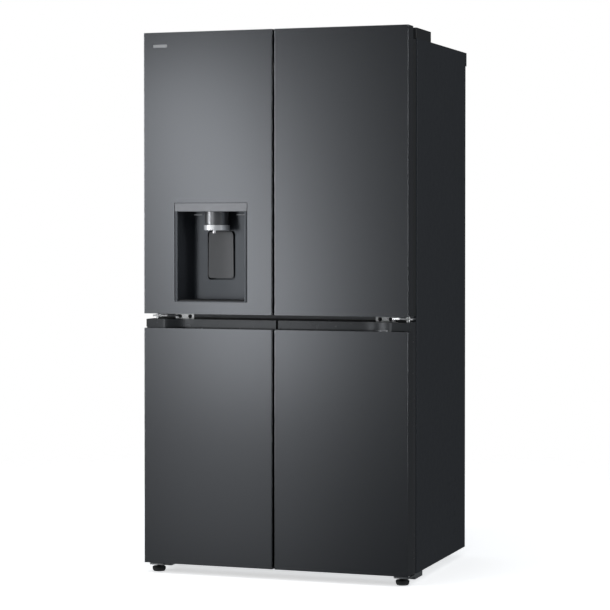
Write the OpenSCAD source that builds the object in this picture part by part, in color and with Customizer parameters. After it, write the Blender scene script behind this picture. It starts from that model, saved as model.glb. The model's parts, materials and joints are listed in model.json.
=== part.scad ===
// Four-door french door refrigerator: two upper doors on the fridge compartment, two lower doors on
// the freezer, with a water and ice dispenser in the upper left door.
// +X is to the viewer's right, +Y goes from the door faces to the back, +Z is up, in millimetres.
// Inside the modules y counts back from the plane of the door faces. standing() then puts the
// origin on the floor, in the middle of the plan.

/* [Overall size] */
// Width over the side panels
overall_w = 912; // [904:2:924]
// Depth from the door faces to the wall spacers
overall_d = 730; // [728:2:740]
// Height of the top of the upper doors
overall_h = 1790; // [1788:1:1796]

/* [Cabinet] */
// Height of the cabinet's top panel
cabinet_top = 1755; // [1753:1:1757]
// Height of the lower edge of the side panels
cabinet_bottom = 30; // [29:1:31]
// Cabinet front face, behind the door faces
cabinet_front = 104; // [103:1:105]
// Rear edge of the side panels, behind the door faces
cabinet_back = 706; // [700:1:708]
// Steel sheet thickness
sheet = 0.8; // [0.6:0.1:1.2]
// Thickness of the inner plastic liners
liner_t = 3; // [2.5:0.5:3]
// Side wall of the fridge compartment, with its insulation
fridge_wall = 52; // [50:1:54]
// Side wall of the freezer compartments, with their insulation
freezer_wall = 60; // [58:1:61]

/* [Doors] */
// Thickness of a door without its gasket
door_t = 88; // [87:1:89]
// Gap between the left and right doors
door_gap = 7; // [6:0.5:8]
// Radius of the folded front edges
edge_r = 3; // [2:0.5:4]
// Depth of the steel skin's side returns
skin_return = 57; // [54:1:60]
// Underside of the upper doors
upper_bottom = 862; // [861:1:863]
// Top of the lower doors' rear part
lower_top = 843; // [842:1:844]
// Top edge of the lower doors' front face
lower_face_top = 814; // [812:1:816]
// Underside of the lower doors
lower_bottom = 34; // [34:1:35]
// Inset of the hinge pins from the side panels
pivot_inset = 20; // [19:1:21]
// Hinge pins, behind the door faces
pivot_y = 72; // [71:0.5:72.5]

/* [Dispenser] */
// Middle of the dispenser, from the middle of the refrigerator
dispenser_x = 218; // [216:1:220]
// Width of the dispenser frame
dispenser_w = 257; // [255:1:258]
// Lower edge of the dispenser frame
dispenser_bottom = 902; // [901:1:904]
// Upper edge of the dispenser frame
dispenser_top = 1228; // [1226:1:1230]
// Height of the control strip
strip_h = 29; // [27:1:30]
// Depth of the dispenser recess
recess_d = 97; // [96:0.5:98]

// Height of the middle of the blank badge
badge_height = 1745; // [1700:1:1760]

/* [Inside] */
// Heights of the glass shelves
shelf_heights = [1092, 1290, 1490];
// Heights of the bins in the upper left door
left_bin_heights = [1290, 1500];
// Heights of the bins in the upper right door
right_bin_heights = [945, 1195, 1445];
// Height of a door bin
bin_h = 110; // [90:5:120]

/* [Hidden] */
$fn = 48;

LEFT = -1;
RIGHT = 1;
eps = 1;                       // how far a cutter runs past the face it opens
fit = 0.1;                     // gap between a plastic part and the steel around it
half_w = overall_w / 2;
door_in = door_gap / 2;        // free edge of the right-hand door
pivot_x = half_w - pivot_inset;
pin_r = 6;
bore_r = pin_r + 0.05;

// compartments: clear space inside the liners
fridge_x = half_w - fridge_wall;
fridge_back = 640;
fridge_z = [905, 1695];
freezer_x = [32, half_w - freezer_wall];
freezer_back = 620;
freezer_z = [105, 800];
step_back = 470;               // the freezer is shallower below step_z, over the machine room
step_z = 330;
machine_front = 500;
machine_top = 290;
case_r = 3;                    // front corners of the folded case
frame_t = 1.5;                 // the steel face frame, inside the case's front fold
frame_x = half_w - 12;
frame_top = cabinet_top - 12;
foam_front = cabinet_front + case_r;
liner_front = cabinet_front + frame_t;
liner_r = 15;

// doors
cap_t = 22;                    // plain end cap
handle_cap = 37;               // end cap that holds the finger groove
strip_t = 4;                   // plastic strip along a door's rear edges
lip_t = 16;                    // front lip of the finger groove
grip_back = 37;                // back wall of an upper groove, and front of the band over a lower one
grip_depth = 34;
grip_undercut = 8;             // the lower grooves run back under the band
grip_bend = half_w - 176;      // the back wall swings forward from here
grip_end = half_w - 60;        // to here, where the groove stops
grip_end_y = lip_t + 4;
grip_steps = 16;
badge_x = [half_w - 84, half_w - 34];
badge_z = [badge_height - 5, badge_height + 5];
notch_x = pivot_x - 12;        // corner cut out of the upper doors for the top hinge
notch_z = cabinet_top - 5;
bore_depth = 22;

// seals and door liners
gasket_back = cabinet_front - 1;
gasket_w = 14;
gasket_x = [door_in + 8, half_w - 24];
upper_seal = [872, 1730];
lower_seal = [70, 829];
ridge_w = 16;
ridge_back = 132;
ridge_out = half_w - 72;
ridge_z = [915, 1685];
ridge_in_left = 70;            // the folded pillar stands beside the left door's ridge
ridge_in_right = 44;
bin_back = 208;

// the folding pillar, stored folded along the left door
pillar_x = -34;                // its hinge line
pillar_y = 100;
pillar_w = 58;
pillar_t = 24;
pillar_z = [925, 1675];
knuckle_heights = [980, 1300, 1620];

// drawers
crisper_x = [6, half_w - 68];
crisper_y = [222, 596];
crisper_z = [910, 1078];
drawer_x = [38, half_w - 66];
drawer_front = 160;
drawer_backs = [606, 606, 456];
drawer_bottoms = [572, 342, 112];
drawer_h = [212, 216, 208];
rail_gap = 0.3;

// feet and rollers
foot_x = 424;
foot_y = 50;
roller_x = 380;
roller_y = 600;
roller_r = 20;

// ---------------------------------------------------------------- shared shapes

module standing() translate([0, -overall_d / 2, 0]) children();

module handed(side) {
    if (side == LEFT) mirror([1, 0, 0]) children();
    else children();
}

module both_sides() {
    children();
    mirror([1, 0, 0]) children();
}

// a block between two corners, given as ranges
module slab(x, y, z) {
    translate([x[0], y[0], z[0]]) cube([x[1] - x[0], y[1] - y[0], z[1] - z[0]]);
}

module rounded_rect(x, y, r) {
    translate([x[0] + r, y[0]]) square([x[1] - x[0] - 2 * r, y[1] - y[0]]);
    translate([x[0], y[0] + r]) square([x[1] - x[0], y[1] - y[0] - 2 * r]);
    for (px = [x[0] + r, x[1] - r], py = [y[0] + r, y[1] - r]) translate([px, py]) circle(r);
}

// blocks with four rounded edges that run along z, along y and along x
module post(x, y, z, r) translate([0, 0, z[0]]) linear_extrude(z[1] - z[0]) rounded_rect(x, y, r);

module panel(x, y, z, r) {
    translate([0, y[1], 0]) rotate([90, 0, 0]) linear_extrude(y[1] - y[0]) rounded_rect(x, z, r);
}

module beam(x, y, z, r) {
    translate([x[0], 0, 0]) rotate([90, 0, 90]) linear_extrude(x[1] - x[0]) rounded_rect(y, z, r);
}

module rod_z(x, y, z, r) translate([x, y, z[0]]) cylinder(h = z[1] - z[0], r = r);

module rod_x(x, y, z, r) translate([x[0], y, z]) rotate([0, 90, 0]) cylinder(h = x[1] - x[0], r = r);

module rod_y(x, y, z, r) translate([x, y[1], z]) rotate([90, 0, 0]) cylinder(h = y[1] - y[0], r = r);

function grown(range, by) = [range[0] - by, range[1] + by];

// ---------------------------------------------------------------- cabinet

// plan of the cabinet, with rounded front corners
module case_plan(inset, back) {
    x = half_w - inset;
    y = cabinet_front + inset;
    r = case_r - inset;
    translate([-x + r, y]) square([2 * (x - r), back - y]);
    translate([-x, y + r]) square([2 * x, back - y - r]);
    for (px = [-x + r, x - r]) translate([px, y + r]) circle(r);
}

module outer_case() color("#26282b") difference() {
    translate([0, 0, cabinet_bottom]) linear_extrude(cabinet_top - cabinet_bottom)
        case_plan(0, cabinet_back);
    translate([0, 0, cabinet_bottom - eps]) linear_extrude(cabinet_top - sheet - cabinet_bottom + eps)
        case_plan(sheet, cabinet_back + eps);
    slab([-frame_x, frame_x], [cabinet_front - eps, cabinet_front + case_r],
        [cabinet_bottom - eps, frame_top]);
    // pressed marks low on the side panels
    both_sides() for (z = [107 : 58 : 281])
        beam([half_w - sheet / 2, half_w + eps], [440, 574], [z - 8, z + 8], 7);
}

module back_panel() color("#3a3c3f") {
    rib_heights = [560, 1560];
    slab([-half_w + sheet, half_w - sheet], [cabinet_back - sheet, cabinet_back],
        [machine_top + frame_t, cabinet_top - sheet]);
    for (x = [-330, -110, 110, 330]) panel(grown([x, x], 9), [cabinet_back, cabinet_back + 3], rib_heights, 8);
}

module base_pan() color("#55585c") {
    ear_x = [roller_x - 14, roller_x + 14];
    difference() {
        slab([-half_w + sheet, half_w - sheet], [foam_front, cabinet_back - sheet],
            [cabinet_bottom + 1, cabinet_bottom + 3]);
        both_sides() slab(grown(ear_x, -2), grown([roller_y, roller_y], 24), [cabinet_bottom, cabinet_bottom + 4]);
    }
    slab([-half_w + sheet, half_w - sheet], [machine_front, machine_front + frame_t],
        [cabinet_bottom + 3, machine_top]);
    slab([-half_w + sheet, half_w - sheet], [machine_front, cabinet_back - sheet],
        [machine_top, machine_top + frame_t]);
    both_sides() {
        for (x = [ear_x[0], ear_x[1] - 3])
            slab([x, x + 3], grown([roller_y, roller_y], 15), [8, cabinet_bottom + 1]);
        rod_x(ear_x, roller_y, roller_r, 4);
    }
}

module fridge_space(grow) {
    panel(grown([-fridge_x, fridge_x], grow), [liner_front - (grow > 0 ? 0 : eps), fridge_back + grow],
        grown(fridge_z, grow), liner_r + grow);
}

// the right-hand freezer space, stepped at the lower back
module freezer_space(grow) {
    front = liner_front - (grow > 0 ? 0 : eps);
    slab(grown(freezer_x, grow), [front, step_back + grow], grown(freezer_z, grow));
    slab(grown(freezer_x, grow), [front, freezer_back + grow], [step_z - grow, freezer_z[1] + grow]);
}

module insulation_foam() color("#d9c98f") {
    difference() {
        slab([-half_w + sheet, half_w - sheet], [foam_front, cabinet_back - sheet],
            [cabinet_bottom + 3, cabinet_top - sheet]);
        translate([0, -eps, 0]) fridge_space(liner_t);
        fridge_space(liner_t);
        both_sides() freezer_space(liner_t);
        both_sides() translate([0, -eps, 0]) freezer_space(liner_t);
        slab([-half_w, half_w], [machine_front, cabinet_back], [0, machine_top + frame_t]);
    }
}

module fridge_liner() color("#eceeef") {
    difference() {
        fridge_space(liner_t);
        fridge_space(0);
    }
    both_sides() {
        for (z = shelf_heights)
            slab([fridge_x - 12, fridge_x + 1], [236, 597], [z - 9, z]);
        for (x = [60, 330])
            slab([x, x + 10], [200, 620], [fridge_z[0] - 1, crisper_z[0] - rail_gap]);
    }
}

module freezer_liners() color("#eceeef") {
    rail = 10;
    both_sides() {
        difference() {
            freezer_space(liner_t);
            freezer_space(0);
        }
        for (i = [0 : len(drawer_bottoms) - 1], x = [freezer_x[0] - 1, freezer_x[1] - rail + 1])
            slab([x, x + rail], [140, drawer_backs[i] - 10],
                [drawer_bottoms[i] - 7, drawer_bottoms[i] - rail_gap]);
    }
}

module front_frame() color("#1c1d1f") {
    difference() {
        slab(grown([-frame_x, frame_x], -fit), [cabinet_front, liner_front],
            [cabinet_bottom + 1, frame_top - fit]);
        panel([-fridge_x, fridge_x], grown([cabinet_front, liner_front], eps), fridge_z, liner_r);
        both_sides() slab(freezer_x, grown([cabinet_front, liner_front], eps), freezer_z);
    }
    // rail between the middle hinges, behind the gap between upper and lower doors
    beam([-316, 316], [cabinet_front - 3, cabinet_front + 1], [847, 866], 1);
}

module rear_top_rail() color("#202224") {
    rail_z = [1709, cabinet_top];
    post([-half_w, half_w], [cabinet_back, cabinet_back + 15], rail_z, 2);
    both_sides() panel([300, 345], [cabinet_back + 14, overall_d], grown(rail_z, -6), 6);
}

module machine_cover() color("#2b2d30") difference() {
    cover_x = 440;
    gland = [-129, cabinet_back + 9];      // mains cord: its place along x, and its outer end
    inlet = [171, cabinet_back + 16];      // water supply
    fitting_z = 110;
    union() {
        slab([-cover_x, cover_x], [cabinet_back - sheet, cabinet_back + 1], [36, machine_top - 1]);
        rod_y(gland[0], [cabinet_back, gland[1]], fitting_z, 9);
        rod_y(inlet[0], [cabinet_back, inlet[1]], fitting_z, 10);
    }
    for (x = [-360, -260, -60, 40, 240, 340], z = [80 : 22 : 234])
        panel([x, x + 62], [cabinet_back - 4, cabinet_back + 4], [z, z + 9], 4);
    rod_y(gland[0], [cabinet_back - 4, gland[1] + eps], fitting_z, 3.5);
    rod_y(inlet[0], [cabinet_back + 4, inlet[1] + eps], fitting_z, 6);
}

// ---------------------------------------------------------------- machine room

module compressor() color("#1a1b1d") {
    pot_x = 250;
    pot_r = 82;
    translate([pot_x, roller_y, 46]) {
        rotate_extrude() intersection() {
            rounded_rect([-pot_r, pot_r], [0, 178], 34);
            square([pot_r + eps, 200]);
        }
        for (a = [45 : 90 : 315]) rotate([0, 0, a]) translate([86, 0, -13]) cylinder(h = 24, r = 12);
        for (a = [45 : 90 : 315]) rotate([0, 0, a]) slab([50, 90], [-9, 9], [2, 8]);
        rod_z(40, 60, [100, 210], 4);
        rod_z(-30, 66, [90, 200], 5);
    }
}

module condenser_coil() color("#4a4d50") {
    coil_x = [-360, -70];
    rows = [85, 125, 165, 205];
    for (x = [coil_x[0] + 15 : 26 : coil_x[1] - 10]) slab([x, x + 1.5], [560, 650], [66, 224]);
    for (y = [585, 625], z = rows) rod_x(coil_x, y, z, 4);
    for (y = [585, 625], i = [0, 2])
        translate([coil_x[1], y, (rows[i] + rows[i + 1]) / 2]) rotate([90, 0, 0])
            rotate_extrude(angle = 180, start = -90) translate([20, 0]) circle(4);
}

shaft_r = 3;

module fan_axis() translate([22, roller_y, 150]) rotate([0, 90, 0]) children();

module condenser_fan() color("#303236") {
    blades = 5;
    fan_axis() {
        translate([0, 0, -14]) cylinder(h = 26, r = 22);
        cylinder(h = 22, r = shaft_r);
        for (i = [0 : blades - 1]) rotate([0, 0, i * 360 / blades])
            translate([45, 0, 0]) rotate([32, 0, 0]) cube([56, 34, 2.4], center = true);
    }
}

module fan_shroud() color("#3b3d40") {
    opening_r = 80;
    difference() {
        slab([34, 40], grown([roller_y, roller_y], 92), [56, 244]);
        fan_axis() translate([0, 0, -eps]) cylinder(h = 40, r = opening_r);
    }
    fan_axis() {
        difference() {
            translate([0, 0, 13]) cylinder(h = 22, r = 18);
            translate([0, 0, 12]) cylinder(h = 11, r = shaft_r + 0.05);
        }
        for (a = [90, 210, 330]) rotate([0, 0, a]) slab([15, opening_r + 3], [-3, 3], [13, 17]);
    }
}

module drain_pan() color("#2a2c2f") {
    pan = [[-400, -30], [530, 690], [44, 64]];
    difference() {
        post(pan[0], pan[1], pan[2], 10);
        post(grown(pan[0], -2.5), grown(pan[1], -2.5), [pan[2][0] + 2.5, pan[2][1] + eps], 8);
    }
}

// ---------------------------------------------------------------- feet and rollers

module foot(side) color("#151617") handed(side) {
    translate([foot_x, foot_y, 0]) rotate_extrude()
        polygon([[0, 0], [18, 0], [21.5, 5], [22.5, 13], [20, 16], [8, 17], [5, 20], [5, 31], [0, 31]]);
}

module roller(side) color("#1b1c1e") handed(side) {
    difference() {
        rod_x([roller_x - 10, roller_x + 10], roller_y, roller_r, roller_r);
        rod_x([roller_x - 11, roller_x + 11], roller_y, roller_r, 4.05);
    }
}

// ---------------------------------------------------------------- hinges

top_screws = [[370, 150], [370, 230], [430, 200]];
middle_screws = [332, 368];
bottom_screws = [398, 420];
plate_t = 4;
boss_r = 9;                    // round end of the top hinge's arm
arm_x = [pivot_x - boss_r, pivot_x + 5];   // narrower outside, to clear the open door
middle_z = [850, 855];
middle_screw_z = 850;
flange_y = [cabinet_front - 4, cabinet_front];

module top_hinges() color("#8b8e92") both_sides() difference() {
    union() {
        post([350, half_w - 6], [112, 262], [cabinet_top, cabinet_top + plate_t], 8);
        slab(arm_x, [pivot_y, 130], [cabinet_top, cabinet_top + plate_t]);
        rod_z(pivot_x, pivot_y, [cabinet_top, cabinet_top + plate_t], boss_r);
        rod_z(pivot_x, pivot_y, [notch_z - 19, cabinet_top + plate_t], pin_r);
    }
    for (p = top_screws) rod_z(p[0], p[1], grown([cabinet_top, cabinet_top + plate_t], eps), 3.2);
}

module hinge_covers() color("#1d1e20") both_sides() {
    cover_top = overall_h - 0.5;
    cover_x = [346, half_w - 2];
    cover_y = [102, 274];
    difference() {
        post(cover_x, cover_y, [cabinet_top, cover_top], 4);
        post(grown(cover_x, -2.5), grown(cover_y, -2.5), [cabinet_top - eps, cover_top - 2.5], 3);
        slab(grown(arm_x, 0.5), [cover_y[0] - eps, cover_y[0] + 4],
            [cabinet_top - eps, cabinet_top + plate_t + 0.5]);
    }
    rod_z(pivot_x, pivot_y, [cabinet_top + plate_t + 1, cover_top], boss_r);
    slab(arm_x, [pivot_y, cover_y[0] + 0.5], [cabinet_top + plate_t + 1, cover_top]);
}

module middle_hinges() color("#a3a6aa") both_sides() difference() {
    union() {
        translate([0, 0, middle_z[0]]) linear_extrude(middle_z[1] - middle_z[0])
            polygon([[376, cabinet_front], [half_w - 4, cabinet_front], [half_w - 4, 66],
                [half_w - 10, 58], [pivot_x - 12, 58], [pivot_x - 30, 78], [376, 88]]);
        panel([318, 384], flange_y, [836, 868], 6);
        rod_z(pivot_x, pivot_y, [lower_top - 19, upper_bottom + 19], pin_r);
    }
    for (x = middle_screws) rod_y(x, grown(flange_y, eps), middle_screw_z, 3.2);
    rod_z(404, 92, grown(middle_z, eps), 5);
}

module bottom_hinges() color("#8b8e92") both_sides() difference() {
    union() {
        post([398, half_w - 4], [32, flange_y[1]], [22, 27], 6);
        slab([384, half_w - 8], flange_y, [22, 66]);
        slab([402, half_w - 6], [cabinet_front, 190], [10, 29.5]);
        rod_z(pivot_x, pivot_y, [22, lower_bottom + 19], pin_r);
    }
    rod_z(foot_x, foot_y, [20, 30], 5.08);
    for (x = bottom_screws) rod_y(x, grown(flange_y, eps), 54, 3.2);
}

module hinge_screws() color("#c4c7ca") both_sides() {
    head = 3;
    for (p = top_screws) {
        rod_z(p[0], p[1], [cabinet_top, cabinet_top + plate_t], 3);
        rod_z(p[0], p[1], [cabinet_top + plate_t, cabinet_top + plate_t + head], 6);
    }
    for (x = middle_screws) {
        rod_y(x, flange_y, middle_screw_z, 3);
        rod_y(x, [flange_y[0] - head, flange_y[0]], middle_screw_z, 6.5);
    }
    for (x = bottom_screws) {
        rod_y(x, flange_y, 54, 3);
        rod_y(x, [flange_y[0] - head, flange_y[0]], 54, 5.5);
    }
}

// ---------------------------------------------------------------- doors, drawn for the right-hand side

// plan of the folded skin: two rounded front corners, open at the back
module skin_plan(inset, depth) {
    x = [door_in + inset, half_w - inset];
    r = edge_r - inset;
    translate([x[0] + r, inset]) square([x[1] - x[0] - 2 * r, depth - inset]);
    translate([x[0], inset + r]) square([x[1] - x[0], depth - inset - r]);
    for (px = [x[0] + r, x[1] - r]) translate([px, inset + r]) circle(r);
}

module folded_skin(z) translate([0, 0, z[0]]) linear_extrude(z[1] - z[0]) difference() {
    skin_plan(0, skin_return);
    skin_plan(sheet, skin_return + eps);
}

// solid plastic cap that fills the skin and runs flush with its back
module cap(z) {
    translate([0, 0, z[0]]) linear_extrude(z[1] - z[0]) skin_plan(sheet + fit, skin_return + eps);
    slab([door_in, half_w], [skin_return, door_t], z);
}

module rear_strips(z) {
    for (x = [[door_in, door_in + strip_t], [half_w - strip_t, half_w]]) slab(x, [skin_return, door_t], z);
}

// plan of the finger groove's back wall, which swings forward towards the hinge side
function grip_curve(back) = [for (i = [0 : grip_steps]) let (t = i / grip_steps)
    [grip_bend + t * (grip_end - grip_bend), back - (back - grip_end_y) * (1 - cos(180 * pow(t, 1.8))) / 2]];

module groove(z, back) translate([0, 0, z[0]]) linear_extrude(z[1] - z[0]) polygon(concat(
    [[door_in + 7, back]], grip_curve(back), [[grip_end, lip_t], [door_in + 7, lip_t]]));

module hinge_notch() {
    slab([notch_x, half_w + eps], [skin_return, door_t + eps], [notch_z, overall_h + eps]);
}

module dispenser_cutout() {
    panel(grown([dispenser_x, dispenser_x], dispenser_w / 2 + 0.2), [-eps, door_t + eps],
        grown([dispenser_bottom, dispenser_top], 0.2), 4);
}

module upper_skin(side) color("#55585c") handed(side) difference() {
    folded_skin([upper_bottom, overall_h]);
    hinge_notch();
    if (side == LEFT) {
        dispenser_cutout();
        panel(badge_x, [-eps, sheet / 2], badge_z, 2);
    }
}

module upper_frame(side) color("#2c2e31") handed(side) difference() {
    union() {
        cap([upper_bottom, upper_bottom + handle_cap]);
        cap([overall_h - cap_t, overall_h]);
        rear_strips([upper_bottom, overall_h]);
        slab([notch_x - 4, half_w - sheet - fit], [skin_return - 4, door_t],
            [notch_z - bore_depth, overall_h]);
    }
    hinge_notch();
    groove([upper_bottom - eps, upper_bottom + grip_depth], grip_back);
    rod_z(pivot_x, pivot_y, [notch_z - bore_depth - eps, notch_z + eps], bore_r);
    rod_z(pivot_x, pivot_y, [upper_bottom - eps, upper_bottom + bore_depth], bore_r);
}

module lower_skin(side) color("#55585c") handed(side) folded_skin([lower_bottom, lower_face_top]);

// rear part that stands above the front face, behind the finger groove
module grip_band() translate([0, 0, lower_face_top]) linear_extrude(lower_top - lower_face_top)
    polygon(concat([[door_in, grip_back]], grip_curve(grip_back),
        [[half_w, grip_end_y], [half_w, door_t], [door_in, door_t]]));

module lower_frame(side) color("#3c3f42") handed(side) difference() {
    union() {
        cap([lower_face_top - handle_cap, lower_face_top]);
        grip_band();
        cap([lower_bottom, lower_bottom + cap_t]);
        rear_strips([lower_bottom, lower_top]);
    }
    groove([lower_face_top - grip_depth, lower_face_top + 4], grip_back + grip_undercut);
    slab([grip_end - eps, half_w + eps], [grip_end_y - eps, grip_end_y + 6],
        [lower_face_top, lower_face_top + 3]);
    rod_z(pivot_x, pivot_y, [lower_top - bore_depth, lower_top + eps], bore_r);
    rod_z(pivot_x, pivot_y, [lower_bottom - eps, lower_bottom + cap_t - 2], bore_r);
}

module gasket(side, seal_z) color("#3f4145") handed(side) difference() {
    panel(gasket_x, [door_t, gasket_back], seal_z, 12);
    panel(grown(gasket_x, -gasket_w), grown([door_t, gasket_back], eps), grown(seal_z, -gasket_w), 4);
}

// sheet that closes the door's back between its caps and side strips
module back_sheet(z) slab([door_in + strip_t, half_w - strip_t], [door_t - liner_t, door_t], z);

// small ledges under the ends of the bins
module bin_pads(inner, heights) {
    for (z = heights, x = [inner[0] - 1, inner[1] - 4]) slab([x, x + 5], [96, 126], [z - 8, z]);
}

module pillar_brackets() {
    for (z = knuckle_heights, dz = [-20, 14]) difference() {
        union() {
            slab([-pillar_x - 5.5, -pillar_x + 5.5], [door_t - 1, pillar_y], [z + dz, z + dz + 6]);
            rod_z(-pillar_x, pillar_y, [z + dz, z + dz + 6], 5.5);
        }
        rod_z(-pillar_x, pillar_y, [z + dz - eps, z + dz + 7], 3.05);
    }
}

module upper_liner(side) color("#f0f1f2") handed(side) {
    ridge_x = [side == LEFT ? ridge_in_left : ridge_in_right, ridge_out];
    inner = grown(ridge_x, -ridge_w);
    housing_x = grown([dispenser_x, dispenser_x], 116);
    bump_z = [912, 1246];
    bump_back = 148;
    foot_z = [upper_bottom + handle_cap, 1246];    // shallower and lower, round the recess's floor
    difference() {
        union() {
            back_sheet([upper_bottom + handle_cap, overall_h - cap_t]);
            difference() {
                panel(ridge_x, [door_t - 1, ridge_back], ridge_z, 24);
                panel(inner, [door_t - 2, ridge_back + eps], grown(ridge_z, -ridge_w), 10);
            }
            if (side == LEFT) panel(grown(inner, 1), [door_t - 1, bump_back], bump_z, 8);
            if (side == LEFT) panel(grown(inner, 1), [door_t - 1, gasket_back], foot_z, 4);
        }
        slab([notch_x - 4, half_w], [door_t - liner_t - eps, door_t + eps], [notch_z - bore_depth, overall_h]);
        // the housing's room
        if (side == LEFT) {
            slab(housing_x, [0, bump_back - liner_t], grown(bump_z, -liner_t));
            slab(housing_x, [0, gasket_back - liner_t], grown(foot_z, -liner_t));
        }
    }
    bin_pads(inner, side == LEFT ? left_bin_heights : right_bin_heights);
    if (side == LEFT) pillar_brackets();
}

module lower_liner(side) color("#f0f1f2") handed(side) {
    plug_x = [42, half_w - 90];
    plug_z = [118, 760];
    plug_back = 120;
    difference() {
        union() {
            back_sheet([lower_bottom + cap_t, lower_face_top - handle_cap]);
            panel(plug_x, [door_t - 1, plug_back], plug_z, 20);
        }
        panel(grown(plug_x, -liner_t), [0, plug_back - liner_t], grown(plug_z, -liner_t), 17);
    }
}

// ---------------------------------------------------------------- dispenser, drawn on the right-hand side

lever_x = 218;
lever_z = [979, 1132];
lever_front = 92;              // the plate stands proud of the recess's back wall
lever_axis = [108, 1148];
window_z = [973, 1136];
pocket_half = 54;
pocket_back = 130;
pocket_z = [966, 1166];
recess_z = [dispenser_bottom + 3, dispenser_top - strip_h];
corner_r = 8;
wall_t = 2.5;
mouth_half = dispenser_w / 2 - 11;
mouth_r = 2;                   // rounded inner edge of the frame's lip
back_half = 87;                // flat part of the back wall
wall_lean = 14.1;

// plan of the recess, mirrored in x: a rounded lip, a side wall that leans in, and a round rear corner
function recess_half(grow) = concat(
    grow > 0 ? [[mouth_half + grow, -eps]] : [[mouth_half + mouth_r, -eps],
        for (a = [270 : -15 : 180 + wall_lean]) [mouth_half + mouth_r, mouth_r] + mouth_r * [cos(a), sin(a)]],
    [for (a = [wall_lean : (90 - wall_lean) / 6 : 90.1])
        [back_half, recess_d - corner_r] + (corner_r + grow) * [cos(a), sin(a)]]);

module recess_plan(grow) translate([dispenser_x, 0]) polygon(concat(recess_half(grow),
    [for (i = [len(recess_half(grow)) - 1 : -1 : 0]) [-recess_half(grow)[i][0], recess_half(grow)[i][1]]]));

module dispenser_housing() color("#191a1c") handed(LEFT) difference() {
    outer_x = grown([dispenser_x, dispenser_x], dispenser_w / 2);
    groove_depth = 3;              // the lip stands forward, with a narrow groove round it
    union() {
        panel(outer_x, [groove_depth, 14], [dispenser_bottom, dispenser_top], 4);
        panel(grown(outer_x, -4.5), [0, 14], grown([dispenser_bottom, dispenser_top], -1.5), 2.5);
        difference() {
            translate([0, 0, dispenser_bottom]) linear_extrude(dispenser_top - 14 - dispenser_bottom)
                recess_plan(wall_t);
            slab(outer_x, [-10, groove_depth], [dispenser_bottom - eps, dispenser_top]);
        }
        slab(grown([lever_x, lever_x], pocket_half + wall_t), [recess_d + 1, pocket_back + wall_t],
            grown(pocket_z, wall_t));
    }
    translate([0, 0, recess_z[0]]) linear_extrude(recess_z[1] - recess_z[0]) recess_plan(0);
    slab(grown([lever_x, lever_x], pocket_half), [recess_d + wall_t, pocket_back], pocket_z);
    panel(grown([lever_x, lever_x], 49), grown([recess_d, recess_d + wall_t], eps), window_z, 12);
    panel(grown(outer_x, -1.5), [-eps, 11], [recess_z[1] + 1, dispenser_top - 1.5], 3);
    rod_x(grown([lever_x, lever_x], 60), lever_axis[0], lever_axis[1], 3.05);
}

module control_panel() color("#85888c") handed(LEFT) {
    panel(grown([dispenser_x, dispenser_x], dispenser_w / 2 - 1.7), [0, 10.8],
        [recess_z[1] + 1.2, dispenser_top - 1.7], 2.8);
}

chute_x = 216;
chute_y = 50;
ring_z = [1137, 1155];

module ice_chute() color("#6c6f73") handed(LEFT) {
    difference() {
        union() {
            rod_z(chute_x, chute_y, [ring_z[1] + 2, recess_z[1]], 39);
            rod_z(chute_x, chute_y, [ring_z[1], recess_z[1]], 36);
        }
        rod_z(chute_x, chute_y, [ring_z[1] - eps, recess_z[1] - 6], 30);
    }
    rod_z(chute_x - 3, 19, [1128, ring_z[0]], 5);
}

module chute_ring() color("#d5d7da") handed(LEFT) translate([chute_x, chute_y, 0]) rotate_extrude()
    polygon([[30, ring_z[0] + 2], [33, ring_z[0]], [40, ring_z[0]], [42.5, ring_z[0] + 2],
        [42.5, ring_z[1] - 1], [41.5, ring_z[1]], [30, ring_z[1]]]);

// a plate that hangs through the window, from a rod behind the wall
module dispenser_lever() color("#4b4e52") handed(LEFT) {
    bottom_half = 45;
    top_half = 43;
    r = 10;
    difference() {
        translate([lever_x, lever_front + 4, 0]) rotate([90, 0, 0]) linear_extrude(4) {
            polygon([[-bottom_half, lever_z[0] + r], [r - bottom_half, lever_z[0]],
                [bottom_half - r, lever_z[0]], [bottom_half, lever_z[0] + r],
                [top_half, lever_z[1] - r], [top_half - r, lever_z[1]],
                [r - top_half, lever_z[1]], [-top_half, lever_z[1] - r]]);
            for (x = [r - bottom_half, bottom_half - r]) translate([x, lever_z[0] + r]) circle(r);
            for (x = [r - top_half, top_half - r]) translate([x, lever_z[1] - r]) circle(r);
        }
        panel(grown([lever_x, lever_x], 11), [lever_front - eps, lever_front + 0.8], [1116, 1119], 1.4);
    }
    slab(grown([lever_x, lever_x], 30), [lever_front + 3, lever_axis[0]], [1119, 1131]);
    slab(grown([lever_x, lever_x], 30), [lever_axis[0] - 6, lever_axis[0] + 2], [1119, lever_axis[1]]);
    rod_x(grown([lever_x, lever_x], 44), lever_axis[0], lever_axis[1], 6);
    rod_x(grown([lever_x, lever_x], 56), lever_axis[0], lever_axis[1], 3);
}

module drip_tray() color("#111214") handed(LEFT) difference() {
    translate([dispenser_x, 0, recess_z[0] + 0.2]) linear_extrude(3.3)
        polygon([[-112, 5], [-96, 70], [-86, 91], [86, 91], [96, 70], [112, 5]]);
    for (x = [-72 : 12 : 72])
        slab([dispenser_x + x - 3, dispenser_x + x + 3], [20, 78], [recess_z[0] + 1.8, recess_z[0] + 4]);
}

// ---------------------------------------------------------------- pillar, bins and drawers

// drawn unfolded about its hinge line, then turned back along the door
module center_pillar() color("#d8dadc") translate([pillar_x, pillar_y, 0]) rotate([0, 0, 90]) {
    post([4, 4 + pillar_w], [5, 5 + pillar_t], pillar_z, 3);
    for (z = knuckle_heights) {
        slab([-1, 7], [-1, 9], [z - 13, z + 13]);
        rod_z(0, 0, [z - 13, z + 13], 5);
        rod_z(0, 0, [z - 20, z + 20], 3);
    }
}

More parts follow.
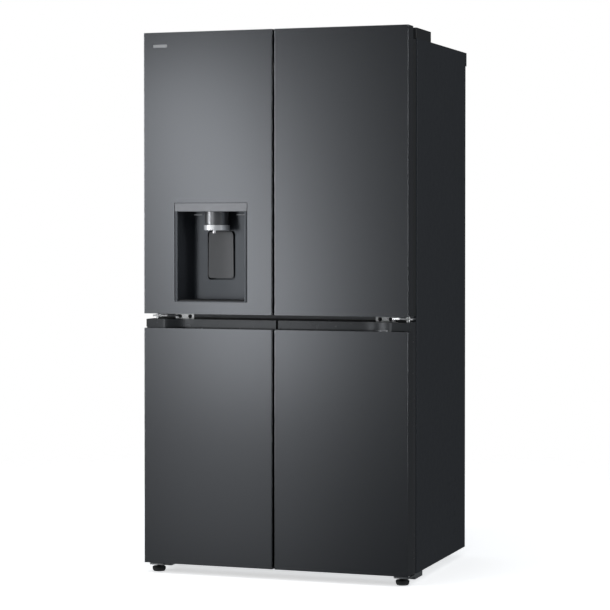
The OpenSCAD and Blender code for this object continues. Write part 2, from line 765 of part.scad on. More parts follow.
module open_box(x, y, z, r, wall) difference() {
    post(x, y, z, r);
    post(grown(x, -wall), grown(y, -wall), [z[0] + wall, z[1] + eps], r - wall);
}

module door_bins(side, ridge_in, heights) color("#cfd6da") handed(side) {
    inner = [ridge_in + ridge_w + 1, ridge_out - ridge_w - 1];
    for (z = heights) open_box(inner, [door_t + 3, bin_back], [z, z + bin_h], 12, 3);
}

module crisper(side) color("#d7dde0") handed(side) {
    open_box(crisper_x, crisper_y, crisper_z, 10, 3);
    slab([crisper_x[0] + 60, crisper_x[1] - 60], [crisper_y[0] + 1, crisper_y[0] + 20],
        [crisper_z[1] - 6, crisper_z[1]]);
}

module freezer_drawer(side, i) color("#dfe5e8") handed(side) {
    z = [drawer_bottoms[i], drawer_bottoms[i] + drawer_h[i]];
    open_box(drawer_x, [drawer_front, drawer_backs[i]], z, 8, 3);
    slab([drawer_x[0] + 50, drawer_x[1] - 50], [drawer_front + 1, drawer_front + 22], [z[1] - 7, z[1]]);
}

// ---------------------------------------------------------------- shelves and inner covers

shelf_x = [-fridge_x + 8, fridge_x - 8];

module glass_shelves() color("#bcd3cf", 0.4) {
    for (z = shelf_heights) slab(shelf_x, [234, 598], [z, z + 4]);
}

module shelf_trims() color("#e4e6e8") {
    for (z = shelf_heights) {
        beam(shelf_x, [224, 234], [z - 5, z + 9], 3);
        beam(shelf_x, [598, 606], [z - 2, z + 16], 2);
    }
}

module slotted_cover(x, y, z, slots_x) difference() {
    panel(x, y, z, 12);
    for (sx = slots_x, sz = [z[0] + 60 : 110 : z[1] - 60])
        panel([sx, sx + 60], [y[0] - eps, y[0] + 5], [sz, sz + 12], 5);
}

module air_duct_covers() color("#e6e8ea") {
    slotted_cover([-170, 170], [622, fridge_back], [1110, 1680], [-140, 80]);
    both_sides() slotted_cover([70, 360], [612, freezer_back], [352, 790], [100, 270]);
}

module light_lens() color("#fbfcfc") post([-150, 150], [250, 330], [fridge_z[1] - 5, fridge_z[1]], 10);

// ---------------------------------------------------------------- output

standing() {
    outer_case();
    back_panel();
    base_pan();
    insulation_foam();
    fridge_liner();
    freezer_liners();
    front_frame();
    top_hinges();
    hinge_covers();
    middle_hinges();
    bottom_hinges();
    hinge_screws();
    glass_shelves();
    shelf_trims();
    air_duct_covers();
    light_lens();
    compressor();
    condenser_coil();
    condenser_fan();
    fan_shroud();
    machine_cover();
    drain_pan();
    rear_top_rail();
    foot(LEFT);  // foot_left
    foot(RIGHT);  // foot_right
    roller(LEFT);  // roller_left
    roller(RIGHT);  // roller_right
    upper_skin(LEFT);  // upper_left_skin
    upper_frame(LEFT);  // upper_left_frame
    upper_liner(LEFT);  // upper_left_liner
    gasket(LEFT, upper_seal);  // upper_left_gasket
    upper_skin(RIGHT);  // upper_right_skin
    upper_frame(RIGHT);  // upper_right_frame
    upper_liner(RIGHT);  // upper_right_liner
    gasket(RIGHT, upper_seal);  // upper_right_gasket
    lower_skin(LEFT);  // lower_left_skin
    lower_frame(LEFT);  // lower_left_frame
    lower_liner(LEFT);  // lower_left_liner
    gasket(LEFT, lower_seal);  // lower_left_gasket
    lower_skin(RIGHT);  // lower_right_skin
    lower_frame(RIGHT);  // lower_right_frame
    lower_liner(RIGHT);  // lower_right_liner
    gasket(RIGHT, lower_seal);  // lower_right_gasket
    dispenser_housing();
    control_panel();
    ice_chute();
    chute_ring();
    dispenser_lever();
    drip_tray();
    center_pillar();
    door_bins(LEFT, ridge_in_left, left_bin_heights);  // left_door_bins
    door_bins(RIGHT, ridge_in_right, right_bin_heights);  // right_door_bins
    crisper(LEFT);  // crisper_left
    crisper(RIGHT);  // crisper_right
    freezer_drawer(LEFT, 0);  // freezer_drawer_left_top
    freezer_drawer(LEFT, 1);  // freezer_drawer_left_middle
    freezer_drawer(LEFT, 2);  // freezer_drawer_left_bottom
    freezer_drawer(RIGHT, 0);  // freezer_drawer_right_top
    freezer_drawer(RIGHT, 1);  // freezer_drawer_right_middle
    freezer_drawer(RIGHT, 2);  // freezer_drawer_right_bottom
}
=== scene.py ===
import json
import math

import bmesh
import bpy
from mathutils import Matrix, Quaternion, Vector
from mathutils.geometry import tessellate_polygon


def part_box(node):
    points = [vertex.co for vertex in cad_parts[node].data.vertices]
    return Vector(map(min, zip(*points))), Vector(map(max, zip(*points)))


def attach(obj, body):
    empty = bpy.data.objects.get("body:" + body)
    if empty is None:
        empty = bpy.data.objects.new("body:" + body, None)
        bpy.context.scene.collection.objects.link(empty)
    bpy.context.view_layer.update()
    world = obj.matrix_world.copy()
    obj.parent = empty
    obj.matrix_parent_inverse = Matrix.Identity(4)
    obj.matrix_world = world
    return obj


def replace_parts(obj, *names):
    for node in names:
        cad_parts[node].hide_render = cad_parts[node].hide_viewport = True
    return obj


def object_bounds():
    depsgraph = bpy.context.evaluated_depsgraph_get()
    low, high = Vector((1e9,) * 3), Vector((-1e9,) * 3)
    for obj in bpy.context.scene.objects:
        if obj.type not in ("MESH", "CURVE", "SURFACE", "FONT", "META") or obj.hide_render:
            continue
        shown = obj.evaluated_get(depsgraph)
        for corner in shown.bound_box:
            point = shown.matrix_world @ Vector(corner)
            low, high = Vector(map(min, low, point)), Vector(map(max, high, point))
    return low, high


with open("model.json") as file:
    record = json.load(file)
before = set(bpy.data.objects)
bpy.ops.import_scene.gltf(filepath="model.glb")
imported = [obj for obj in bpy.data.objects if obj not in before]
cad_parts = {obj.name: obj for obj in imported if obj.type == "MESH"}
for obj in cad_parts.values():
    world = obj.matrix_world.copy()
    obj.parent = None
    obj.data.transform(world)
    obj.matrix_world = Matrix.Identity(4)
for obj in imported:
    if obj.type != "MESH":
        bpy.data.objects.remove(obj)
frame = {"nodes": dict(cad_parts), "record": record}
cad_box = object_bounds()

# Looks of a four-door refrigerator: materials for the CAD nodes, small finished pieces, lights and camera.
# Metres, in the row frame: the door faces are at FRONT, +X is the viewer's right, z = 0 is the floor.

FRONT = cad_box[0][1]
NODES = frame["nodes"]
RAIL = (0.847, 0.866)          # z span of the rail between the middle hinges, where a lighter grey is painted as light
NOZZLE_TOP = 1.137
DISPENSER_X = -0.218


# ------------------------------------------------------------------ node helpers

class Shader:
    """A material with one Principled BSDF, and short calls that add procedural detail to it."""

    def __init__(self, name, color, roughness, metallic=0.0, **sockets):
        self.mat = bpy.data.materials.new(name)
        self.mat.use_nodes = True
        self.tree = self.mat.node_tree
        self.bsdf = self.tree.nodes["Principled BSDF"]
        self.set("Base Color", (*color, 1.0))
        self.set("Roughness", roughness)
        self.set("Metallic", metallic)
        for key, value in sockets.items():
            self.set(key.replace("_", " "), value)
        self.color, self.roughness = color, roughness
        self.bump_normal = None

    def set(self, socket, value):
        self.bsdf.inputs[socket].default_value = value

    def node(self, kind, **values):
        n = self.tree.nodes.new(kind)
        for key, value in values.items():
            if key in n.inputs:
                n.inputs[key].default_value = value
            else:
                setattr(n, key, value)
        return n

    def link(self, a, b):
        self.tree.links.new(a, b)

    def place(self, scale=(1, 1, 1)):
        """Object coordinates in metres, stretched by scale"""
        coords = self.node("ShaderNodeTexCoord")
        mapping = self.node("ShaderNodeMapping")
        mapping.inputs["Scale"].default_value = scale
        self.link(coords.outputs["Object"], mapping.inputs["Vector"])
        return mapping.outputs["Vector"]

    def noise(self, size, stretch=(1, 1, 1), detail=3.0, rough=0.5):
        """Noise whose features are about size metres, stretched along the axes where stretch is over 1"""
        scale = tuple(1.0 / s for s in stretch)
        n = self.node("ShaderNodeTexNoise", Scale=1.0 / size, Detail=detail, Roughness=rough)
        self.link(self.place(scale), n.inputs["Vector"])
        return n.outputs["Fac"]

    def spread(self, value, low, high):
        """Maps noise, which lies mostly in 0.25 to 0.75, on to low to high"""
        return self.remap(value, 0.25, 0.75, low, high, clamp=False)

    def remap(self, value, from_min, from_max, to_min, to_max, clamp=True):
        m = self.node("ShaderNodeMapRange", clamp=clamp)
        for key, v in zip(("From Min", "From Max", "To Min", "To Max"), (from_min, from_max, to_min, to_max)):
            m.inputs[key].default_value = v
        self.link(value, m.inputs["Value"])
        return m.outputs["Result"]

    def vary_roughness(self, value, by):
        self.link(self.spread(value, self.roughness - by, self.roughness + by), self.bsdf.inputs["Roughness"])
        return self

    def mix_color(self, factor, first, second):
        mix = self.node("ShaderNodeMix", data_type="RGBA", clamp_factor=False)
        mix.inputs[6].default_value, mix.inputs[7].default_value = (*first, 1.0), (*second, 1.0)
        self.link(factor, mix.inputs[0])
        self.link(mix.outputs[2], self.bsdf.inputs["Base Color"])
        return self

    def vary_color(self, value, by):
        """Lightens and darkens the base colour by the fraction by"""
        dark = tuple(c * (1 - by) for c in self.color)
        light = tuple(min(1.0, c * (1 + by)) for c in self.color)
        return self.mix_color(self.spread(value, 0.0, 1.0), dark, light)

    def bump(self, value, height):
        """Adds relief of that height, in metres"""
        b = self.node("ShaderNodeBump", Strength=1.0, Distance=height)
        self.link(value, b.inputs["Height"])
        if self.bump_normal is not None:
            self.link(self.bump_normal, b.inputs["Normal"])
        self.bump_normal = b.outputs["Normal"]
        self.link(self.bump_normal, self.bsdf.inputs["Normal"])
        return self


def moulded(name, color, roughness, grain=0.0009, depth=0.00003, **sockets):
    """Moulded plastic: a fine pebble grain and faint flow marks"""
    s = Shader(name, color, roughness, **sockets)
    s.vary_roughness(s.noise(0.02), 0.02)
    s.vary_color(s.noise(0.03), 0.03)
    return s.bump(s.noise(grain, detail=2.0), depth).mat


def clear(name, tint, roughness, ior):
    """Clear moulded or cut sheet, with a trace of waviness"""
    s = Shader(name, tint, roughness, Transmission_Weight=1.0, IOR=ior)
    s.vary_color(s.noise(0.08), 0.02)
    return s.bump(s.noise(0.02, detail=1.0), 0.00003).mat


# ------------------------------------------------------------------ materials

def door_steel():
    """Satin graphite steel with fine hairlines along z"""
    s = Shader("door_steel", (0.148, 0.155, 0.166), 0.27, metallic=1.0)
    hairlines = s.noise(0.0002, stretch=(1, 1, 120), detail=2.0)
    s.vary_color(hairlines, 0.03)
    return s.bump(hairlines, 0.0000012).mat


def case_steel():
    """Dark painted sheet with a fine leather-like grain"""
    s = Shader("case_steel", (0.02, 0.0216, 0.0246), 0.52)
    s.set("Specular Tint", (0.85, 0.92, 1.0, 1.0))
    s.vary_roughness(s.noise(0.02), 0.03)
    s.vary_color(s.noise(0.15), 0.04)
    return s.bump(s.noise(0.0012, detail=3.0), 0.00004).mat


def face_frame():
    """Black face frame; the rail between the middle hinges gets a lighter grey band, painted light that
    stands in for the light the shaded gap keeps off it
    """
    s = Shader("face_frame", (0.012, 0.0125, 0.013), 0.5)
    s.vary_roughness(s.noise(0.02), 0.02)
    height = s.node("ShaderNodeSeparateXYZ")
    s.link(s.place(), height.inputs["Vector"])
    low = s.remap(height.outputs["Z"], RAIL[0] - 0.0002, RAIL[0], 0.0, 1.0)
    high = s.remap(height.outputs["Z"], RAIL[1], RAIL[1] + 0.0002, 1.0, 0.0)
    rail_painted_light = s.node("ShaderNodeMath", operation="MULTIPLY")
    s.link(low, rail_painted_light.inputs[0])
    s.link(high, rail_painted_light.inputs[1])
    # painted light: the rail band is a lighter grey so that it reads as lit in the gap's shade
    s.mix_color(rail_painted_light.outputs[0], s.color, (0.16, 0.165, 0.175))
    return s.bump(s.noise(0.0009, detail=2.0), 0.00003).mat


def plated(name, color, roughness):
    """Zinc plated or galvanised steel with a soft spangle"""
    s = Shader(name, color, roughness, metallic=1.0)
    cells = s.node("ShaderNodeTexVoronoi", Scale=240.0)
    s.link(s.place(), cells.inputs["Vector"])
    s.vary_color(cells.outputs["Distance"], 0.05)
    s.vary_roughness(s.noise(0.006), 0.05)
    return s.bump(s.noise(0.0015), 0.00001).mat


def foam():
    """Rigid foam with small pores"""
    s = Shader("foam", (0.74, 0.6, 0.33), 0.9)
    pores = s.node("ShaderNodeTexVoronoi", Scale=700.0)
    s.link(s.place(), pores.inputs["Vector"])
    s.vary_color(s.noise(0.01), 0.12)
    return s.bump(pores.outputs["Distance"], 0.0004).mat


def satin(name, color, roughness, metallic):
    """Satin plating over plastic, with faint flow marks"""
    s = Shader(name, color, roughness, metallic=metallic)
    s.vary_roughness(s.noise(0.004), 0.02)
    return s.bump(s.noise(0.01, detail=1.0), 0.000005).mat


def recess_black():
    """Satin black plastic of the dispenser's recess"""
    s = Shader("black_plastic", (0.02, 0.0216, 0.025), 0.3)
    s.set("Specular IOR Level", 0.95)
    s.set("Specular Tint", (0.86, 0.92, 1.0, 1.0))
    s.vary_roughness(s.noise(0.02), 0.01)
    return s.bump(s.noise(0.0006, detail=2.0), 0.000006).mat


def chute_grey():
    """Satin dark grey chute; the water nozzle, which hangs below it, is bright"""
    s = Shader("dark_chrome", (0.2, 0.205, 0.215), 0.36, metallic=0.75)
    s.vary_roughness(s.noise(0.004), 0.02)
    height = s.node("ShaderNodeSeparateXYZ")
    s.link(s.place(), height.inputs["Vector"])
    nozzle = s.remap(height.outputs["Z"], NOZZLE_TOP, NOZZLE_TOP + 0.0001, 1.0, 0.0)
    s.mix_color(nozzle, s.color, (0.9, 0.9, 0.92))
    return s.bump(s.noise(0.01, detail=1.0), 0.000005).mat


MATERIALS = {
    "door_steel": door_steel(),
    "case_steel": case_steel(),
    "frame_black": moulded("frame_black", (0.017, 0.018, 0.019), 0.45),
    "grip_grey": moulded("grip_grey", (0.05, 0.053, 0.057), 0.26, metallic=0.6, grain=0.0006, depth=0.000003),
    "liner_white": moulded("liner_white", (0.8, 0.81, 0.81), 0.32, grain=0.004, depth=0.00002),
    "gasket_grey": moulded("gasket_grey", (0.05, 0.05, 0.054), 0.65, grain=0.0005),
    "galvanised": plated("galvanised", (0.55, 0.56, 0.57), 0.3),
    "foam": foam(),
    "shelf_glass": clear("shelf_glass", (0.9, 0.97, 0.95), 0.01, 1.5),
    "clear_plastic": clear("clear_plastic", (0.93, 0.96, 0.98), 0.06, 1.49),
    "lamp_lens": moulded("lamp_lens", (0.9, 0.9, 0.88), 0.4, grain=0.002,
                         Emission_Color=(1.0, 0.97, 0.92, 1.0), Emission_Strength=5.0),
    "compressor_black": moulded("compressor_black", (0.012, 0.012, 0.013), 0.35, grain=0.003),
    "condenser_tube": moulded("condenser_tube", (0.03, 0.03, 0.032), 0.4, grain=0.002),
    "machine_plastic": moulded("machine_plastic", (0.03, 0.031, 0.033), 0.5),
    "black_plastic": recess_black(),
    "strip_grey": moulded("strip_grey", (0.19, 0.196, 0.208), 0.3, metallic=1.0, grain=0.0004,
                          depth=0.000003),
    "lever_grey": moulded("lever_grey", (0.1, 0.103, 0.11), 0.3, grain=0.0006, depth=0.00001),
    "dark_chrome": chute_grey(),
    "bright_chrome": satin("bright_chrome", (0.78, 0.79, 0.81), 0.4, 0.55),
    "foot_black": moulded("foot_black", (0.01, 0.01, 0.01), 0.5),
    "roller_black": moulded("roller_black", (0.012, 0.012, 0.012), 0.45),
    "face_frame": face_frame(),
    "tray_black": moulded("tray_black", (0.006, 0.006, 0.0065), 0.5, grain=0.0006, depth=0.00001),
    "badge_grey": satin("badge_grey", (0.45, 0.46, 0.475), 0.3, 1.0),
    # painted light: a faint glow brightens the pale ledges in the dispenser's shaded recess
    "light_bar": moulded("light_bar", (0.7, 0.71, 0.73), 0.4, grain=0.002,
                         Emission_Color=(0.94, 0.97, 1.0, 1.0), Emission_Strength=0.09),
    "screw_black": moulded("screw_black", (0.05, 0.051, 0.053), 0.35, metallic=1.0, grain=0.002,
                           depth=0.000003),
}
OWN_MATERIAL = {"front_frame": "face_frame", "drip_tray": "tray_black"}

for sub in frame["record"]["subparts"]:
    mesh = NODES[sub["node"]].data
    mesh.materials.clear()
    mesh.materials.append(MATERIALS[OWN_MATERIAL.get(sub["node"], sub["material_slot"])])


# ------------------------------------------------------------------ small pieces

def piece(name, verts, faces, body, slot, material=None, smooth=35):
    """An object from a closed surface, whose edges over smooth degrees stay sharp"""
    mesh = bpy.data.meshes.new(name)
    mesh.from_pydata([tuple(v) for v in verts], [], faces)
    bm = bmesh.new()
    bm.from_mesh(mesh)
    bmesh.ops.remove_doubles(bm, verts=bm.verts, dist=1e-6)
    bmesh.ops.recalc_face_normals(bm, faces=bm.faces)
    bm.to_mesh(mesh)
    bm.free()
    mesh.shade_smooth()
    mesh.set_sharp_from_angle(angle=math.radians(smooth))
    mesh.materials.append(MATERIALS[material or slot])
    obj = bpy.data.objects.new(name, mesh)
    bpy.context.scene.collection.objects.link(obj)
    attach(obj, body)
    return obj


def bridge(loops, closed=False):
    """Quads between loops of equal length, with an end face on the first and last unless closed"""
    n = len(loops[0])
    verts = [v for loop in loops for v in loop]
    faces = []
    for a in range(len(loops) if closed else len(loops) - 1):
        b = (a + 1) % len(loops)
        faces += [(a * n + i, a * n + (i + 1) % n, b * n + (i + 1) % n, b * n + i) for i in range(n)]
    if not closed:
        faces += [tuple(range(n)), tuple(range((len(loops) - 1) * n, len(loops) * n))]
    return verts, faces


def rounded_loop(x, z, y, radius, steps=6):
    """Points round a rectangle with round corners, in the plane y"""
    centres = [(x[1] - radius, z[1] - radius), (x[0] + radius, z[1] - radius),
               (x[0] + radius, z[0] + radius), (x[1] - radius, z[0] + radius)]
    points = []
    for k, (cx, cz) in enumerate(centres):
        for i in range(steps + 1):
            a = math.radians(90 * k + 90 * i / steps)
            points.append((cx + radius * math.cos(a), y, cz + radius * math.sin(a)))
    return points


def seal(node, body):
    """Door gasket: a bellows profile run round the door, mitred at its corners"""
    low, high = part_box(node)
    tall = 15                  # millimetres, as is the profile: first inwards, then back from the door
    profile = [(1.5, 0), (12.5, 0), (12.5, 2.0), (10.6, 3.2), (10.6, 4.0), (12.3, 5.2), (12.3, 6.0),
               (10.8, 7.2), (10.8, 7.9), (13.0, 9.2), (13.7, 10.0), (13.7, 14.2), (13.0, 15.0), (1.0, 15.0),
               (0.3, 14.2), (0.3, 10.0), (1.0, 9.2), (3.2, 7.9), (3.2, 7.2), (1.7, 6.0), (1.7, 5.2),
               (3.4, 4.0), (3.4, 3.2), (1.5, 2.0)]
    depth = high[1] - low[1]
    loops = []
    for cx, cz, sx, sz in ((low[0], low[2], 1, 1), (high[0], low[2], -1, 1), (high[0], high[2], -1, -1),
                           (low[0], high[2], 1, -1)):
        loops.append([(cx + sx * u / 1000, low[1] + v / tall * depth, cz + sz * u / 1000)
                      for u, v in profile])
    ring = piece(node + "_bellows", *bridge(loops, closed=True), body, "gasket_grey", smooth=50)
    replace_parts(ring, node)


for side in ("left", "right"):
    for level in ("upper", "lower"):
        seal(f"{level}_{side}_gasket", f"{level}_{side}_door")


def islands(node):
    """Lowest and highest corners of each separate solid in a node"""
    bm = bmesh.new()
    bm.from_mesh(NODES[node].data)
    bmesh.ops.remove_doubles(bm, verts=bm.verts, dist=1e-6)
    seen, found = set(), []
    for start in bm.verts:
        if start.index in seen:
            continue
        seen.add(start.index)
        stack, group = [start], []
        while stack:
            v = stack.pop()
            group.append(v.co.copy())
            for edge in v.link_edges:
                other = edge.other_vert(v)
                if other.index not in seen:
                    seen.add(other.index)
                    stack.append(other)
        found.append((Vector([min(c[i] for c in group) for i in range(3)]),
                      Vector([max(c[i] for c in group) for i in range(3)])))
    bm.free()
    return sorted(found, key=lambda box: tuple(round(c, 5) for c in box[0]))


def screw_mesh(radius, height, shank_radius, shank):
    """Pan head screw along +z with a cross recess; its head stands on z = 0"""
    steps = 32
    ring = [(shank_radius, -shank), (shank_radius, 0), (radius, 0), (radius, 0.35 * height),
            (0.93 * radius, 0.62 * height), (0.8 * radius, 0.82 * height), (0.62 * radius, 0.95 * height),
            (0.5 * radius, height)]
    angles = [math.tau * i / steps for i in range(steps)]
    loops = [[(r * math.cos(a), r * math.sin(a), z) for a in angles] for r, z in ring]
    verts, faces = bridge(loops)
    faces.pop()
    arm, half, deep = 0.42 * radius, 0.1 * radius, 0.55 * height
    cross = [(arm, -half), (arm, half), (half, half), (half, arm), (-half, arm), (-half, half), (-arm, half),
             (-arm, -half), (-half, -half), (-half, -arm), (half, -arm), (half, -half)]
    base = len(verts)
    verts += [(x, y, height) for x, y in cross] + [(x * 0.8, y * 0.8, height - deep) for x, y in cross]
    rim = [Vector(v) for v in loops[-1]]
    lookup = [base - steps + i for i in range(steps)] + [base + i for i in range(12)]
    hole = [Vector(v) for v in verts[base:base + 12]]
    faces += [tuple(lookup[i] for i in tri) for tri in tessellate_polygon([rim, hole])]
    faces += [(base + i, base + (i + 1) % 12, base + 12 + (i + 1) % 12, base + 12 + i) for i in range(12)]
    floor = [base + 12 + i for i in range(12)]
    faces += [tuple(floor[i] for i in (0, 1, 2, 11)), tuple(floor[i] for i in (2, 3, 4, 5)),
              tuple(floor[i] for i in (5, 6, 7, 8)), tuple(floor[i] for i in (8, 9, 10, 11)),
              tuple(floor[i] for i in (2, 5, 8, 11))]
    return verts, faces


def screws(name, places, body, slot, material=None):
    """One piece with a screw per place: point, direction, head radius and height, shank radius and length"""
    verts, faces = [], []
    for n, (point, way, radius, height, shank_radius, shank) in enumerate(places):
        turn = Vector((0, 0, 1)).rotation_difference(Vector(way)) @ Quaternion((0, 0, 1), 0.7 + 1.3 * n)
        matrix = Matrix.Translation(point) @ turn.to_matrix().to_4x4()
        some, more = screw_mesh(radius, height, shank_radius, shank)
        base = len(verts)
        verts += [matrix @ Vector(v) for v in some]
        faces += [tuple(i + base for i in face) for face in more]
    return piece(name, verts, faces, body, slot, material)


def hinge_screws():
    """Screws in the places of the CAD's plain ones: head up on the top hinges, head forward on the others"""
    head, shank_radius, shank = 0.003, 0.003, 0.004
    bright, dark = [], []
    for low, high in islands("hinge_screws"):
        middle = (low + high) / 2
        size = high - low
        if size[2] < size[1]:
            point, way = (middle[0], middle[1], high[2] - head), (0, 0, 1)
        else:
            point, way = (middle[0], low[1] + head, middle[2]), (0, -1, 0)
        at_middle_hinge = 0.5 < middle[2] < 1.0
        (dark if at_middle_hinge else bright).append((point, way, size[0] / 2, head, shank_radius, shank))
    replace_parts(screws("hinge_screw_heads", bright, "cabinet", "galvanised"), "hinge_screws")
    screws("middle_hinge_screw_heads", dark, "cabinet", "galvanised", "screw_black")


hinge_screws()


def rear_screws():
    """Screws round the back panel and the machine cover"""
    places = []
    for node, sheet, columns, rows in (
            ("back_panel", 0.0008, (-0.44, 0.44), (0.35, 0.75, 1.15, 1.55)),
            ("machine_cover", 0.0018, (-0.428, -0.15, 0.15, 0.428), (0.05, 0.275))):
        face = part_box(node)[0][1] + sheet
        places += [((x, face, z), (0, 1, 0), 0.0045, 0.0024, 0.002, 0.0006) for x in columns for z in rows]
    screws("rear_screw_heads", places, "cabinet", "galvanised")


rear_screws()


def badge():
    """Blank plate, flush in its shallow recess near the door's top corner"""
    mid_x = -0.397
    x, z = (mid_x - 0.0248, mid_x + 0.0248), (1.7402, 1.7498)     # a hair inside the 50 by 10 mm recess
    edge = 0.0003
    face = rounded_loop((x[0] + edge, x[1] - edge), (z[0] + edge, z[1] - edge), FRONT + 0.00002, 0.0015)
    loops = [rounded_loop(x, z, FRONT + 0.0004, 0.0018), rounded_loop(x, z, FRONT + 0.00025, 0.0018), face]
    piece("badge", *bridge(loops), "upper_left_door", "bright_chrome", "badge_grey")


badge()


def painted_glow_ledges():
    """Two pale ledges along the top of the dispenser's rear wall, each with one end round the corner; their
    faint glow is painted light in place of the light the recess's shade keeps off them
    """
    half, corner, depth = 0.087, 0.008, 0.097      # flat half of the rear wall, its corner, its depth
    section = [(0.0, 1.1878), (0.001, 1.1882), (0.0014, 1.18905), (0.001, 1.1899), (0.0, 1.1903)]
    for name, side, start in (("left", -1, 0.068), ("right", 1, 0.054)):
        loops = []
        for centre, degrees in [(start, 90)] + [(half, a) for a in range(90, 14, -15)]:
            a = math.radians(degrees)
            loop = []
            for inner, z in section:
                r = corner - inner
                x = DISPENSER_X + side * (centre + r * math.cos(a))
                loop.append((x, FRONT + depth - corner + r * math.sin(a), z))
            loops.append(loop)
        piece(f"{name}_light_bar", *bridge(loops), "upper_left_door", "bright_chrome", "light_bar")


painted_glow_ledges()


def rim(name, box, body, radius, slot="liner_white"):
    """Rounded bead round the top edge of an open box with round corners, over the whole wall"""
    (x0, y0, _), (x1, y1, top) = box
    section = [(0.0004, -0.0065), (0.0004, 0.0006), (-0.0004, 0.0014), (-0.0014, 0.0017), (-0.0028, 0.0014),
               (-0.0036, 0.0006), (-0.0038, -0.0005), (-0.0038, -0.0065)]
    loops = []
    for k, (cx, cy) in enumerate(((x1 - radius, y1 - radius), (x0 + radius, y1 - radius),
                                  (x0 + radius, y0 + radius), (x1 - radius, y0 + radius))):
        for i in range(7):
            a = math.radians(90 * k + 15 * i)
            loops.append([(cx + (radius + u) * math.cos(a), cy + (radius + u) * math.sin(a), top + v)
                          for u, v in section])
    return piece(name, *bridge(loops, closed=True), body, slot)


for side in ("left", "right"):
    for n, solid in enumerate(islands(f"{side}_door_bins")):
        rim(f"{side}_bin_rim_{n + 1}", solid, f"upper_{side}_door", 0.012)
    rim(f"{side}_crisper_rim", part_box(f"crisper_{side}"), f"{side}_crisper", 0.010)
    for level in ("top", "middle", "bottom"):
        drawer = f"{side}_{level}_drawer"
        rim(f"{drawer}_rim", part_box(f"freezer_drawer_{side}_{level}"), drawer, 0.008)


# ------------------------------------------------------------------ stage, light and camera

def white_floor():
    """Pale floor that fades into the background away from the object"""
    mesh = bpy.data.meshes.new("floor")
    size = 6.0
    corners = [(-size, -size, 0), (size, -size, 0), (size, size, 0), (-size, size, 0)]
    mesh.from_pydata(corners, [], [(0, 1, 2, 3)])
    floor = bpy.data.objects.new("floor", mesh)
    bpy.context.scene.collection.objects.link(floor)
    s = Shader("floor", (0.92, 0.92, 0.92), 0.8)
    s.vary_color(s.noise(0.5), 0.01)
    tree = s.tree
    out = tree.nodes["Material Output"]
    glow = s.node("ShaderNodeEmission", Strength=0.55)
    lit = s.node("ShaderNodeAddShader")
    s.link(s.bsdf.outputs[0], lit.inputs[0])
    s.link(glow.outputs[0], lit.inputs[1])
    reach = s.node("ShaderNodeVectorMath", operation="LENGTH")
    s.link(s.place(), reach.inputs[0])
    fade = s.node("ShaderNodeMapRange", interpolation_type="SMOOTHSTEP")
    for key, v in (("From Min", 1.4), ("From Max", 3.6), ("To Min", 0.0), ("To Max", 1.0)):
        fade.inputs[key].default_value = v
    s.link(reach.outputs["Value"], fade.inputs["Value"])
    mix = s.node("ShaderNodeMixShader")
    clear_air = s.node("ShaderNodeBsdfTransparent")
    s.link(fade.outputs["Result"], mix.inputs[0])
    s.link(lit.outputs[0], mix.inputs[1])
    s.link(clear_air.outputs[0], mix.inputs[2])
    s.link(mix.outputs[0], out.inputs["Surface"])
    mesh.materials.append(s.mat)
    floor.visible_glossy = False
    floor.visible_diffuse = False


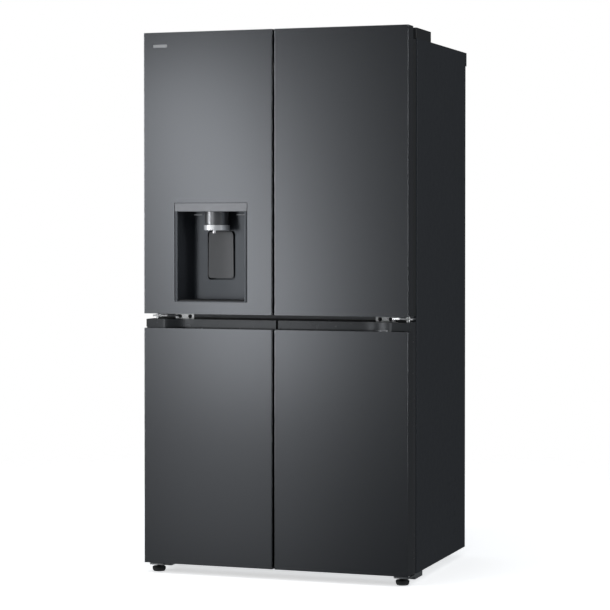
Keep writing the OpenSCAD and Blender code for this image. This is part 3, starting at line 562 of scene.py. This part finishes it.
def studio_world():
    """White behind the object. Reflections see a dark room that is lighter overhead and underfoot"""
    world = bpy.data.worlds.new("studio")
    world.use_nodes = True
    bpy.context.scene.world = world
    tree = world.node_tree
    background = tree.nodes["Background"]

    def mix(kind, factor, first, second):
        """Blend of two plain values or node outputs"""
        node = tree.nodes.new("ShaderNodeMix")
        node.data_type = kind
        a, b, result = {"FLOAT": (2, 3, 0), "RGBA": (6, 7, 2)}[kind]
        tree.links.new(factor, node.inputs[0])
        for index, value in ((a, first), (b, second)):
            if isinstance(value, bpy.types.NodeSocket):
                tree.links.new(value, node.inputs[index])
            else:
                node.inputs[index].default_value = value
        return node.outputs[result]

    direction = tree.nodes.new("ShaderNodeTexCoord")
    split = tree.nodes.new("ShaderNodeSeparateXYZ")
    steep = tree.nodes.new("ShaderNodeMath")
    steep.operation = "ABSOLUTE"
    rise = tree.nodes.new("ShaderNodeMapRange")
    rise.interpolation_type = "SMOOTHSTEP"
    rise.inputs["From Min"].default_value, rise.inputs["From Max"].default_value = 0.4, 0.9
    tree.links.new(direction.outputs["Generated"], split.inputs["Vector"])
    tree.links.new(split.outputs["Z"], steep.inputs[0])
    tree.links.new(steep.outputs[0], rise.inputs["Value"])

    path = tree.nodes.new("ShaderNodeLightPath")
    reflected = mix("FLOAT", rise.outputs["Result"], 0.074, 0.7)
    unseen = mix("FLOAT", path.outputs["Is Glossy Ray"], 0.45, reflected)
    strength = mix("FLOAT", path.outputs["Is Camera Ray"], unseen, 1.0)
    tint = mix("RGBA", path.outputs["Is Camera Ray"], (0.9, 0.95, 1.0, 1.0), (1.0, 1.0, 1.0, 1.0))
    tree.links.new(strength, background.inputs["Strength"])
    tree.links.new(tint, background.inputs["Color"])


def softbox(name, place, target, width, height, power, tilt=0.0):
    """Rectangular soft light at place that faces target, turned about its own axis by tilt degrees"""
    data = bpy.data.lights.new(name, "AREA")
    data.shape, data.size, data.size_y, data.energy = "RECTANGLE", width, height, power
    light = bpy.data.objects.new(name, data)
    bpy.context.scene.collection.objects.link(light)
    light.location = place
    facing = (Vector(target) - Vector(place)).to_track_quat("-Z", "Y")
    light.rotation_euler = (facing @ Quaternion((0, 0, 1), math.radians(tilt))).to_euler()
    light.visible_camera = False
    return light


def front_camera():
    """Nearly level camera to the right of the front, with the picture shifted down a little"""
    data = bpy.data.cameras.new("camera")
    data.sensor_width, data.lens = 36.0, 123.78
    data.shift_y = -0.06
    camera = bpy.data.objects.new("camera", data)
    bpy.context.scene.collection.objects.link(camera)
    camera.location = (2.3404, -6.7559, 1.1487)
    camera.rotation_euler = (math.radians(88.867), 0, math.radians(19.241))
    bpy.context.scene.camera = camera


white_floor()
studio_world()
softbox("key", (-1.293, -3.15, 1.164), (-0.2, FRONT, 0.6), 0.49, 1.58, 6.3, tilt=15.6)
softbox("wide", (-1.142, -3.15, 0.852), (-0.2, FRONT, 1.22), 0.8, 2.6, 2.7, tilt=-4.2)
softbox("left", (-3.4, -2.4, 1.2), (-0.2, FRONT, 1.0), 0.5, 2.2, 66)
softbox("right", (3.4, -1.1, 1.2), (0.2, FRONT, 1.0), 0.4, 2.2, 26)
softbox("top", (0.0, -1.0, 4.2), (0, 0, 0.8), 3.0, 3.0, 40)
front_camera()
bpy.context.scene.view_settings.view_transform = "Standard"
